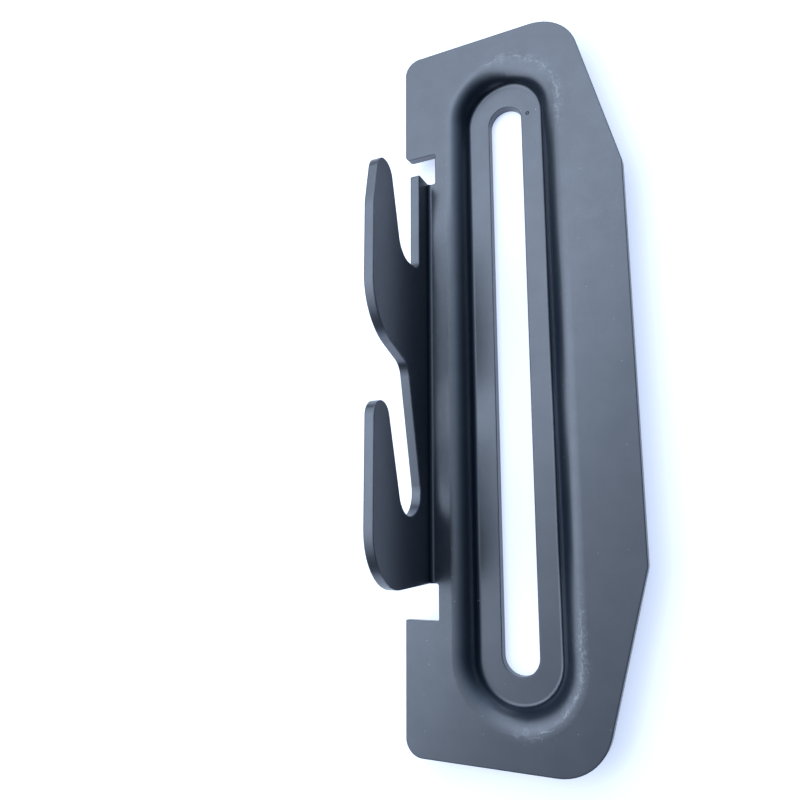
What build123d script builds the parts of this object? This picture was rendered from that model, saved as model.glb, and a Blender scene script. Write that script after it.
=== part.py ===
from build123d import *
import math
import os

# Bed rail fastener: a bolt-on steel plate with two hook claws, folded and pressed from one sheet.
# It lies as it comes to rest, on the back of its pressed boss, in millimetres.
# The origin is the middle of the bolt slot, on the boss's flat back face.
# +Z is the way the claws stand up, +Y the way their tips point, and the fold is on the -X side.

# Sheet
sheet = 2.7
broken_edge = 0.12

# Plate, seen from the claw side
plate_height = 203.2
plate_width = 63.5
straight_side_length = 104.8
side_taper_angle = 15.0
taper_corner_radius = 4.0
end_corner_radius = 13.8
ear_corner_radius = 4.6

# Bolt slot, and the pressed recess round it
slot_width = 9.9
slot_side_land = 6.2
slot_end_land = 7.05
recess_end_margin = 14.15
recess_depth = 5.2
recess_wall_slope = 70.0
recess_foot_radius = 1.0
boss_root_radius = 2.8

# Fold along the recess, and the relief notches at its two ends
recess_rim_to_bend = 4.7
bend_radius = 1.0
bend_angle = 91.2
slot_middle_to_fold_low_end = 57.6
slot_middle_to_fold_high_end = 58.2
ear_overhang = 4.9
notch_width = 9.7
notch_past_bend = 1.1
notch_corner_radius = 0.6
upper_ear_nose_radius = 1.6

# Claws: lengths run along the flange, and reaches and floors up it from the plate's front face
hook_pitch = 68.9
gap_radius = 6.6
lower_gap_floor = 6.7
lower_claw_reach = 33.9
lower_claw_length = 27.5
lower_tip_radius = 4.2
lower_neck_width = 18.0
lower_shoulder_radius = 14.5
lower_shoulder_overhang = 0.7
upper_gap_floor = 7.1
upper_gap_corner_radius = 3.0
upper_claw_reach = 35.0
upper_claw_length = 23.2
upper_tip_radius = 4.5
upper_tip_drop = 1.8
upper_back_bend_radius = 12.0
upper_back_bend_to_tip = 15.1
upper_neck_width = 26.5
upper_shoulder_radius = 16.4
throat_radius = 5.4
throat_floor = 13.8
throat_to_shoulder = 6.6
root_end_round = 0.8

# Levels and places that follow
plate_back = recess_depth
plate_front = plate_back + sheet
recess_length = plate_height - 2 * recess_end_margin
recess_width = slot_width + 2 * slot_side_land
slot_length = recess_length - 2 * slot_end_land
wall_draft = 90 - recess_wall_slope
wall_run = recess_depth * math.tan(math.radians(wall_draft))
corner_run = math.tan(math.radians(recess_wall_slope / 2))
shoulder_radius = boss_root_radius + sheet
recess_rim = recess_width / 2 + wall_run + shoulder_radius * corner_run
bend_start = -recess_rim - recess_rim_to_bend
flange_inner = bend_start - bend_radius
ear_edge = flange_inner - sheet - ear_overhang
outer_edge = ear_edge + plate_width
fold_low_end = -slot_middle_to_fold_low_end
fold_high_end = slot_middle_to_fold_high_end
bend_top_angle = 270 - bend_angle

# Allowances for picking edges
same_level = 0.01
clear_turn = 30


def heading(disc, next_disc):
    """Direction of the straight side that leaves one disc and runs into the next."""
    run = next_disc[0] - disc[0]
    rise = next_disc[1] - disc[1]
    lean = math.asin((disc[2] - next_disc[2]) / math.hypot(run, rise))
    return math.atan2(rise, run) - lean


def rim_point(disc, direction):
    """Point of a disc's rim where the outline passes it in this direction."""
    along, out, radius = disc
    return (along - radius * math.sin(direction), out + radius * math.cos(direction))


def round_discs(discs):
    """Draws an outline that runs clockwise round discs, joined by straight tangent sides.

    A disc is its place along the flange, its place up the flange and its radius.
    The radius is positive at an outer corner, negative in a hollow and zero at a sharp corner.
    """
    count = len(discs)
    leaving = [heading(discs[i], discs[(i + 1) % count]) for i in range(count)]
    for i, disc in enumerate(discs):
        arriving = leaving[i - 1]
        Line(rim_point(discs[i - 1], arriving), rim_point(disc, arriving))
        if disc[2] != 0:
            side = math.copysign(1, disc[2])
            turn = side * ((side * (arriving - leaving[i])) % (2 * math.pi))
            ThreePointArc(
                rim_point(disc, arriving),
                rim_point(disc, arriving - turn / 2),
                rim_point(disc, leaving[i]),
            )


def pressed_edges(level):
    """Edges of the pressed form that lie flat at this height."""
    reach_x = recess_rim + recess_rim_to_bend / 2
    reach_y = recess_rim + (recess_length - recess_width) / 2 + recess_rim_to_bend / 2
    flat = edges().filter_by_position(Axis.Z, level - same_level, level + same_level)
    flat = flat.filter_by_position(Axis.X, -reach_x, reach_x)
    return flat.filter_by_position(Axis.Y, -reach_y, reach_y)


def sharp_edges():
    """Edges where the two faces that meet turn through a clear angle."""
    meeting = {}
    for face in faces():
        for edge in face.edges():
            meeting.setdefault(edge, []).append(face)
    sharp = ShapeList()
    for edge, pair in meeting.items():
        if len(pair) == 2:
            middle = edge @ 0.5
            turn = pair[0].normal_at(middle).get_angle(pair[1].normal_at(middle))
            if turn > clear_turn:
                sharp.append(edge)
    return sharp


# Discs that the claws' outline runs round, clockwise from the lower end of the fold
lower_neck_back = fold_low_end - lower_shoulder_overhang
lower_gap_end = lower_neck_back + lower_neck_width
lower_tip = lower_gap_end + lower_claw_length
upper_gap_end = lower_gap_end + hook_pitch
upper_neck_back = upper_gap_end - upper_neck_width
upper_tip = upper_gap_end + upper_claw_length
claw_discs = [
    (fold_low_end, bend_radius, 0),
    (
        lower_neck_back + lower_shoulder_radius,
        lower_claw_reach - lower_shoulder_radius,
        lower_shoulder_radius,
    ),
    (lower_tip - lower_tip_radius, lower_claw_reach - lower_tip_radius, lower_tip_radius),
    (lower_gap_end + gap_radius, lower_gap_floor + gap_radius, -gap_radius),
    (upper_neck_back - throat_to_shoulder, throat_floor + throat_radius, -throat_radius),
    (
        upper_neck_back + upper_shoulder_radius,
        upper_claw_reach - upper_shoulder_radius,
        upper_shoulder_radius,
    ),
    (
        upper_tip - upper_back_bend_to_tip,
        upper_claw_reach - upper_back_bend_radius,
        upper_back_bend_radius,
    ),
    (
        upper_tip - upper_tip_radius,
        upper_claw_reach - upper_tip_drop - upper_tip_radius,
        upper_tip_radius,
    ),
    (upper_gap_end + gap_radius, upper_gap_floor + gap_radius, -gap_radius),
    (
        upper_gap_end + upper_gap_corner_radius,
        upper_gap_floor + upper_gap_corner_radius,
        -upper_gap_corner_radius,
    ),
    (fold_high_end - root_end_round, upper_gap_floor - root_end_round, root_end_round),
    (fold_high_end, bend_radius, 0),
]

with BuildPart() as hook_plate:
    # Flat plate: square ears at both ends of the fold side, tapered ends on the outer side
    taper_height = (plate_height - straight_side_length) / 2
    end_edge = outer_edge - taper_height * math.tan(math.radians(side_taper_angle))
    half_height = plate_height / 2
    half_straight = straight_side_length / 2
    with BuildSketch(Plane.XY.offset(plate_back)):
        with BuildLine():
            FilletPolyline(
                (ear_edge, -half_height),
                (end_edge, -half_height),
                (outer_edge, -half_straight),
                (outer_edge, half_straight),
                (end_edge, half_height),
                (ear_edge, half_height),
                radius=[
                    ear_corner_radius,
                    end_corner_radius,
                    taper_corner_radius,
                    taper_corner_radius,
                    end_corner_radius,
                    ear_corner_radius,
                ],
                close=True,
            )
        make_face()
        # Edge strip that is folded up, and the relief notches at its two ends
        with Locations((ear_edge, (fold_high_end + fold_low_end) / 2)):
            Rectangle(2 * (bend_start - ear_edge), fold_high_end - fold_low_end, mode=Mode.SUBTRACT)
        notch_span = 2 * (bend_start + notch_past_bend - ear_edge)
        with Locations(
            (ear_edge, fold_high_end + notch_width / 2),
            (ear_edge, fold_low_end - notch_width / 2),
        ):
            RectangleRounded(notch_span, notch_width, notch_corner_radius, mode=Mode.SUBTRACT)
        upper_ear_nose = (ear_edge, fold_high_end + notch_width)
        fillet(vertices().sort_by_distance(upper_ear_nose)[0], upper_ear_nose_radius)
    extrude(amount=sheet)

    # Boss pressed out of the back, with a soft rim and a small root
    skin_shift = sheet * corner_run
    with BuildSketch(Plane.XY):
        SlotOverall(recess_length + 2 * skin_shift, recess_width + 2 * skin_shift, rotation=90)
    extrude(amount=recess_depth, taper=-wall_draft)
    fillet(pressed_edges(0), recess_foot_radius + sheet)
    fillet(pressed_edges(plate_back), boss_root_radius)

    # Recess that the boss leaves in the front, with a small foot and a soft shoulder
    with BuildSketch(Plane.XY.offset(sheet)):
        SlotOverall(recess_length, recess_width, rotation=90)
    extrude(amount=recess_depth, taper=-wall_draft, mode=Mode.SUBTRACT)
    fillet(pressed_edges(sheet), recess_foot_radius)
    fillet(pressed_edges(plate_front), shoulder_radius)

    # Bolt slot through the recess floor
    with BuildSketch(Plane.XY):
        SlotOverall(slot_length, slot_width, rotation=90)
    extrude(amount=sheet, mode=Mode.SUBTRACT)

    # Fold from the plate up into the flange
    bend_centre = (bend_start, plate_front + bend_radius)
    with BuildSketch(Plane.XZ.offset(-fold_high_end)):
        with BuildLine():
            inner = CenterArc(bend_centre, bend_radius, bend_top_angle, bend_angle)
            outer = CenterArc(bend_centre, bend_radius + sheet, bend_top_angle, bend_angle)
            Line(inner @ 0, outer @ 0)
            Line(inner @ 1, outer @ 1)
        make_face()
    extrude(amount=fold_high_end - fold_low_end)

    # Flange cut to its two claws, drawn on its outer face from the plate's front level up
    outward = Vector(1, 0, 0).rotate(Axis.Y, -bend_top_angle)
    uphill = outward.rotate(Axis.Y, 90)
    bend_axis = Vector(bend_start, 0, plate_front + bend_radius)
    flange_foot = bend_axis + outward * (bend_radius + sheet) - uphill * bend_radius
    with BuildSketch(Plane(origin=flange_foot, x_dir=(0, 1, 0), z_dir=-outward)):
        with BuildLine():
            round_discs(claw_discs)
        make_face()
    extrude(amount=sheet)

    # Every cut edge of the sheet is broken, as it is before coating
    chamfer(sharp_edges(), broken_edge)

hook_plate.part.label = "hook_plate"
os.makedirs("parts", exist_ok=True)
export_step(hook_plate.part, "parts/hook_plate.step")
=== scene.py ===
import math
import bpy
from mathutils import Euler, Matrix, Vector

# A bed rail hook plate on a white table, under one large soft light from beyond its upper left.
# Lengths are written in millimetres and turned to metres with MM.
MM = 0.001

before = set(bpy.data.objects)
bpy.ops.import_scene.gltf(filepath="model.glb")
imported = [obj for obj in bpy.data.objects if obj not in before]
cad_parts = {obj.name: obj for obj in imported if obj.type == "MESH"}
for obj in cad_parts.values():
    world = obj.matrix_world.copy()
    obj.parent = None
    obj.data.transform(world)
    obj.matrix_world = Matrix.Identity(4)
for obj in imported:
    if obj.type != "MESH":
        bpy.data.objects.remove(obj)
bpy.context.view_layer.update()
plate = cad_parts["hook_plate"]

# Camera, which looks down on the plate from its lower right
camera_place = Vector((58.4, -46.5, 188.0)) * MM
camera_turn = [math.radians(a) for a in (12.49, 26.13, -5.50)]
sensor_width = 36.0
focal_length = 32.11
nearest_seen = 10 * MM

# Softbox, flat above the table, its near and far edges measured along its bearing
softbox_height = 350 * MM
softbox_bearing = 152.0
softbox_near_edge = 83 * MM
softbox_far_edge = 540 * MM
softbox_width = 1100 * MM
softbox_radiance = 1.62
softbox_color = (0.80, 0.89, 1.0)

# Room glow, with its bounds as parts of a direction's unit length
glow_color = (0.83, 0.905, 1.0, 1)
glow_right_color = (0.66, 0.84, 1.05, 1)
glow_tint_start = -0.10
glow_tint_full = 0.55
glow_everywhere = 0.033
glow_peak = 1.44
glow_left_end = -0.92
glow_left_full = -0.50
glow_right_full = 0.12
glow_right_end = 1.02
glow_lean = 0.6
glow_near_end = -0.88
glow_near_full = 0.50
glow_far_full = 0.50
glow_far_dimmed = 0.85
glow_far_share = 0.4

# Table
table_size = 4.0
table_color = (0.80, 0.80, 0.80, 1)
table_glow = (0.47, 0.545, 0.73, 1)

# Recess, as its rim's distance from its middle line and half that line's length
recess_rim = 16.9 * MM
recess_half_run = 76.3 * MM

# Soft forms of the drawn sheet, which only bend the light
edge_roll = 0.45 * MM
edge_roll_samples = 6
dish_low = 13.7 * MM
dish_high = 18.6 * MM
dish_depth = 0.40 * MM
dish_left_end = -16 * MM
dish_left_full = 12 * MM
dish_far_full = 58 * MM
dish_far_end = 86 * MM
slump_low = 11.0 * MM
slump_high = 15.6 * MM
slump_depth = 1.1 * MM
slump_left_end = -10 * MM
slump_left_full = 4 * MM
bow_outer = -22.5 * MM
bow_inner = -15.0 * MM
bow_depth = 0.95 * MM
bow_near_end = -42 * MM
bow_near_full = -18 * MM
bow_far_full = 42 * MM
bow_far_end = 57 * MM
bow_bottom = 3 * MM
bow_top = 8.5 * MM

# Noises, each as its scale to the metre, its detail and its roughness
cloud_noise = (60, 3, 0.5)
shine_noise = (120, 5, 0.65)
grain_noise = (2600, 2, 0.5)
wander_noise = (260, 3, 0.6)
line_noise = (600, 4, 0.75)
clump_noise = (330, 3, 0.6)
fleck_noise = (1500, 3, 0.75)
patch_noise = (1300, 3, 0.7)
noise_middle = 0.5
noise_low = 0.3
noise_high = 0.7

# Coat
coat_color = (0.0015, 0.0075, 0.0185, 1)
coat_pale = (0.0036, 0.0105, 0.0235, 1)
coat_tint = (0.80, 0.87, 1.0, 1)
coat_ior = 2.1
coat_roughness = 0.32
coat_roughness_swing = 0.03
shine_low = 0.48
shine_high = 0.52
grain_strength = 0.15
grain_depth = 0.05 * MM

# Scuffs, as a line that wanders round the recess's rim with flecks beside it
scuff_color = (0.13, 0.15, 0.177, 1)
scuff_wander = 4.0 * MM
line_full = 0.05 * MM
line_reach = 0.45 * MM
line_low = 0.40
line_high = 0.62
fleck_full = 0.2 * MM
fleck_reach = 2.6 * MM
fleck_strength = 0.8
clump_low = 0.38
clump_high = 0.56
fleck_low = 0.42
fleck_high = 0.70

# Where the rim is scuffed
wear_everywhere = 0.06
far_wear_start = 64 * MM
far_wear_full = 74 * MM
far_wear_left_end = -9 * MM
far_wear_left_full = 2 * MM
near_wear_full = -66 * MM
near_wear_start = -56 * MM
near_wear_left_end = -2 * MM
near_wear_left_full = 6 * MM
near_wear_strength = 0.9

# Bare patches at the recess's two ends, each as its place and its reach
patches = [
    ((-0.1 * MM, -93.0 * MM, 0), 1.3 * MM),
    ((2.4 * MM, -92.2 * MM, 0), 1.5 * MM),
    ((0.5 * MM, 93.0 * MM, 0), 2.6 * MM),
    ((9.4 * MM, 90.6 * MM, 0), 2.0 * MM),
    ((13.2 * MM, 86.4 * MM, 0), 2.2 * MM),
]
patch_full_share = 0.2
patch_strength = 0.7
patch_low = 0.38
patch_high = 0.62

# Dust, as specks in some cells of a pattern, with their radii as shares of a cell
dust_color = (0.30, 0.33, 0.36, 1)
dust_scale = 130.0
dust_full = 0.008
dust_reach = 0.026
dust_pick_low = 0.45
dust_pick_high = 1.0
dust_strength = 0.5

# Crater in the coat beside the slot's far end, and the white speck near it
crater_place = (6.9 * MM, 76.6 * MM, 0)
crater_inner_end = 0.15 * MM
crater_inner_full = 0.35 * MM
crater_outer_full = 0.45 * MM
crater_outer_end = 0.65 * MM
speck_place = (9.4 * MM, 77.1 * MM, 0)
speck_full = 0.10 * MM
speck_reach = 0.24 * MM


class Tree:
    """The nodes of a material or world, made and wired in one call each."""

    def __init__(self, owner):
        owner.use_nodes = True
        self.nodes = owner.node_tree.nodes
        self.links = owner.node_tree.links
        self.nodes.clear()

    def add(self, kind, inputs=None, **settings):
        node = self.nodes.new(kind)
        for name, value in settings.items():
            setattr(node, name, value)
        for name, value in (inputs or {}).items():
            self.put(node.inputs[name], value)
        return node

    def put(self, socket, value):
        if isinstance(value, bpy.types.NodeSocket):
            self.links.new(value, socket)
        else:
            socket.default_value = value

    def math(self, operation, *values, clamp=False):
        node = self.add("ShaderNodeMath", operation=operation, use_clamp=clamp)
        for socket, value in zip(node.inputs, values):
            self.put(socket, value)
        return node.outputs[0]

    def times(self, first, second):
        return self.math("MULTIPLY", first, second)

    def step(self, value, low, high, to_low=0.0, to_high=1.0):
        """A smooth step of a value, from to_low at low to to_high at high."""
        node = self.add("ShaderNodeMapRange", interpolation_type="SMOOTHSTEP")
        for socket, number in zip(node.inputs, (value, low, high, to_low, to_high)):
            self.put(socket, number)
        return node.outputs[0]

    def noise(self, place, pattern):
        scale, detail, roughness = pattern
        inputs = {"Vector": place, "Scale": scale, "Detail": detail, "Roughness": roughness}
        return self.add("ShaderNodeTexNoise", inputs).outputs[0]

    def distance(self, place, other):
        node = self.add("ShaderNodeVectorMath", operation="DISTANCE")
        self.put(node.inputs[0], place)
        self.put(node.inputs[1], other)
        return node.outputs["Value"]

    def mix(self, share, first, second):
        """A colour between two, by its share of the second one."""
        node = self.add("ShaderNodeMix", data_type="RGBA")
        self.put(node.inputs[0], share)
        self.put(node.inputs[6], first)
        self.put(node.inputs[7], second)
        return node.outputs[2]

    def bump(self, strength, depth, height, normal):
        inputs = {"Strength": strength, "Distance": depth, "Height": height, "Normal": normal}
        return self.add("ShaderNodeBump", inputs).outputs[0]


def distance_from_recess(tree, x, y):
    """Distance on plan from the straight line that the recess is drawn round."""
    past_end = tree.math("SUBTRACT", tree.math("ABSOLUTE", y), recess_half_run)
    past_end = tree.math("MAXIMUM", past_end, 0)
    squares = tree.math("ADD", tree.times(x, x), tree.times(past_end, past_end))
    return tree.math("SQRT", squares)


def rim_scuffs(tree, place, x, y, from_recess):
    """Broken pale line and soft flecks where the sheet was drawn over the recess's rim."""
    wander = tree.math("SUBTRACT", tree.noise(place, wander_noise), noise_middle)
    off_line = tree.math("SUBTRACT", from_recess, recess_rim)
    off_line = tree.math("ADD", off_line, tree.times(wander, scuff_wander))
    off_line = tree.math("ABSOLUTE", off_line)
    line = tree.step(off_line, line_full, line_reach, 1, 0)
    line = tree.times(line, tree.step(tree.noise(place, line_noise), line_low, line_high))
    flecks = tree.step(off_line, fleck_full, fleck_reach, 1, 0)
    flecks = tree.times(flecks, tree.step(tree.noise(place, clump_noise), clump_low, clump_high))
    flecks = tree.times(flecks, tree.step(tree.noise(place, fleck_noise), fleck_low, fleck_high))
    worn = tree.math("ADD", line, tree.times(flecks, fleck_strength), clamp=True)

    far_end = tree.step(y, far_wear_start, far_wear_full)
    far_end = tree.times(far_end, tree.step(x, far_wear_left_end, far_wear_left_full))
    near_end = tree.step(y, near_wear_full, near_wear_start, 1, 0)
    near_end = tree.times(near_end, tree.step(x, near_wear_left_end, near_wear_left_full))
    ends = tree.math("ADD", far_end, tree.times(near_end, near_wear_strength))
    return tree.times(worn, tree.math("ADD", ends, wear_everywhere))


def add_patches(tree, worn, place, plan):
    """The scuffs with the bare patches over them."""
    patchy = tree.step(tree.noise(place, patch_noise), patch_low, patch_high)
    patchy = tree.times(patchy, patch_strength)
    for patch, reach in patches:
        bare = tree.step(tree.distance(plan, patch), patch_full_share * reach, reach, 1, 0)
        worn = tree.math("MAXIMUM", worn, tree.times(bare, patchy))
    return worn


def sparse_dust(tree, x, y, z):
    """Specks spread along the plate and up its flange."""
    across = tree.add("ShaderNodeCombineXYZ", {"X": tree.math("ADD", x, z), "Y": y}).outputs[0]
    inputs = {"Vector": across, "Scale": dust_scale}
    cells = tree.add("ShaderNodeTexVoronoi", inputs, voronoi_dimensions="2D").outputs
    pick = tree.add("ShaderNodeSeparateColor", {"Color": cells["Color"]}).outputs[0]
    dust = tree.step(cells["Distance"], dust_full, dust_reach, 1, 0)
    dust = tree.times(dust, tree.step(pick, dust_pick_low, dust_pick_high))
    return tree.times(dust, dust_strength)


def soft_forms(tree, x, y, z, from_recess):
    """The surface's direction, with rolled edges and the drawn sheet's dish, slump and bow."""
    rolled = tree.add("ShaderNodeBevel", {"Radius": edge_roll}, samples=edge_roll_samples)

    dish = tree.step(from_recess, dish_low, dish_high)
    share = tree.step(x, dish_left_end, dish_left_full)
    share = tree.times(share, tree.step(y, dish_far_full, dish_far_end, 1, 0))
    dished = tree.bump(share, dish_depth, dish, rolled.outputs[0])

    slump = tree.step(from_recess, slump_low, slump_high, 1, 0)
    share = tree.step(y, dish_far_full, dish_far_end)
    share = tree.times(share, tree.step(x, slump_left_end, slump_left_full))
    slumped = tree.bump(share, slump_depth, slump, dished)

    bow = tree.step(x, bow_outer, bow_inner, 1, 0)
    share = tree.step(y, bow_far_full, bow_far_end, 1, 0)
    share = tree.times(share, tree.step(y, bow_near_end, bow_near_full))
    share = tree.times(share, tree.step(z, bow_bottom, bow_top))
    return tree.bump(share, bow_depth, bow, slumped)


def coated_steel():
    """Satin dark coat with a fine grain, a crater, dust and scuffs round the pressed recess."""
    material = bpy.data.materials.new("coated_steel")
    tree = Tree(material)
    place = tree.add("ShaderNodeTexCoord").outputs["Object"]
    x, y, z = tree.add("ShaderNodeSeparateXYZ", {"Vector": place}).outputs
    plan = tree.add("ShaderNodeCombineXYZ", {"X": x, "Y": y}).outputs[0]
    from_recess = distance_from_recess(tree, x, y)

    worn = rim_scuffs(tree, place, x, y, from_recess)
    worn = add_patches(tree, worn, place, plan)
    speck = tree.step(tree.distance(plan, speck_place), speck_full, speck_reach, 1, 0)
    bits = tree.math("ADD", speck, sparse_dust(tree, x, y, z), clamp=True)
    color = tree.mix(tree.noise(place, cloud_noise), coat_color, coat_pale)
    color = tree.mix(worn, color, scuff_color)
    color = tree.mix(bits, color, dust_color)

    from_crater = tree.distance(plan, crater_place)
    crater = tree.step(from_crater, crater_inner_end, crater_inner_full)
    crater = tree.times(crater, tree.step(from_crater, crater_outer_full, crater_outer_end, 1, 0))
    shine = tree.noise(place, shine_noise)
    shine = tree.step(shine, noise_low, noise_high, shine_low, shine_high)
    shine = tree.times(tree.math("SUBTRACT", 1, crater), shine)

    grain = tree.noise(place, grain_noise)
    smoothest = coat_roughness - coat_roughness_swing
    roughest = coat_roughness + coat_roughness_swing
    roughness = tree.step(grain, noise_low, noise_high, smoothest, roughest)
    normal = soft_forms(tree, x, y, z, from_recess)
    normal = tree.bump(grain_strength, grain_depth, grain, normal)

    shader = tree.add(
        "ShaderNodeBsdfPrincipled",
        {
            "Base Color": color,
            "Roughness": roughness,
            "Normal": normal,
            "IOR": coat_ior,
            "Specular IOR Level": shine,
            "Specular Tint": coat_tint,
        },
    )
    tree.add("ShaderNodeOutputMaterial", {"Surface": shader.outputs[0]})
    return material


def white_table():
    """A matt white table that shows as clear white and keeps its soft blue shadows."""
    material = bpy.data.materials.new("white_table")
    tree = Tree(material)
    rays = tree.add("ShaderNodeLightPath").outputs
    seen = tree.math("MAXIMUM", rays["Is Camera Ray"], rays["Is Glossy Ray"])
    seen = tree.math("MAXIMUM", seen, rays["Is Transmission Ray"])
    matt = tree.add("ShaderNodeBsdfDiffuse", {"Color": table_color})
    glow = tree.add("ShaderNodeEmission", {"Color": table_glow, "Strength": seen})
    both = tree.add("ShaderNodeAddShader")
    tree.put(both.inputs[0], matt.outputs[0])
    tree.put(both.inputs[1], glow.outputs[0])
    tree.add("ShaderNodeOutputMaterial", {"Surface": both.outputs[0]})
    return material


def build_table():
    mesh = bpy.data.meshes.new("table")
    half = table_size / 2
    corners = [(-half, -half, 0), (half, -half, 0), (half, half, 0), (-half, half, 0)]
    mesh.from_pydata(corners, [], [(0, 1, 2, 3)])
    table = bpy.data.objects.new("table", mesh)
    bpy.context.scene.collection.objects.link(table)
    mesh.materials.append(white_table())


def build_camera():
    data = bpy.data.cameras.new("camera")
    data.sensor_width = sensor_width
    data.lens = focal_length
    data.clip_start = nearest_seen
    camera = bpy.data.objects.new("camera", data)
    camera.rotation_mode = "ZYX"
    camera.rotation_euler = Euler(camera_turn, "ZYX")
    camera.location = camera_place
    bpy.context.scene.collection.objects.link(camera)
    bpy.context.scene.camera = camera


def build_softbox():
    data = bpy.data.lights.new("softbox", "AREA")
    data.shape = "RECTANGLE"
    data.size = softbox_far_edge - softbox_near_edge
    data.size_y = softbox_width
    data.color = softbox_color
    data.energy = math.pi * data.size * data.size_y * softbox_radiance
    softbox = bpy.data.objects.new("softbox", data)
    along = softbox_near_edge + data.size / 2
    bearing = math.radians(softbox_bearing)
    softbox.location = (along * math.cos(bearing), along * math.sin(bearing), softbox_height)
    softbox.rotation_euler = (0, 0, bearing)
    bpy.context.scene.collection.objects.link(softbox)


def build_room():
    """A glow that peaks beyond and left of overhead, and fades to every side."""
    world = bpy.data.worlds.new("room")
    bpy.context.scene.world = world
    tree = Tree(world)
    direction = tree.add("ShaderNodeTexCoord").outputs["Generated"]
    right, far, _ = tree.add("ShaderNodeSeparateXYZ", {"Vector": direction}).outputs
    tint = tree.step(right, glow_tint_start, glow_tint_full)
    color = tree.mix(tint, glow_color, glow_right_color)
    strength = tree.step(right, glow_right_full, glow_right_end, glow_peak, 0)
    strength = tree.times(strength, tree.step(right, glow_left_end, glow_left_full))
    leaned = tree.math("SUBTRACT", far, tree.times(right, glow_lean))
    strength = tree.times(strength, tree.step(leaned, glow_near_end, glow_near_full))
    dimming = tree.step(leaned, glow_far_full, glow_far_dimmed, 1, glow_far_share)
    strength = tree.times(strength, dimming)
    strength = tree.math("ADD", strength, glow_everywhere)
    glow = tree.add("ShaderNodeBackground", {"Color": color, "Strength": strength})

    # Past the table's edge the camera sees plain white, and the coat's sheen still shows the glow
    rays = tree.add("ShaderNodeLightPath").outputs
    seen = tree.math("MAXIMUM", rays["Is Camera Ray"], rays["Is Transmission Ray"])
    plain = tree.add("ShaderNodeBackground", {"Color": (1, 1, 1, 1), "Strength": 1.0})
    both = tree.add("ShaderNodeMixShader", {"Fac": seen})
    tree.put(both.inputs[1], glow.outputs[0])
    tree.put(both.inputs[2], plain.outputs[0])
    tree.add("ShaderNodeOutputWorld", {"Surface": both.outputs[0]})


def dress_plate():
    material = coated_steel()
    plate.data.materials.clear()
    plate.data.materials.append(material)


build_camera()
build_table()
build_softbox()
build_room()
dress_plate()

bpy.context.scene.view_settings.view_transform = "Standard"
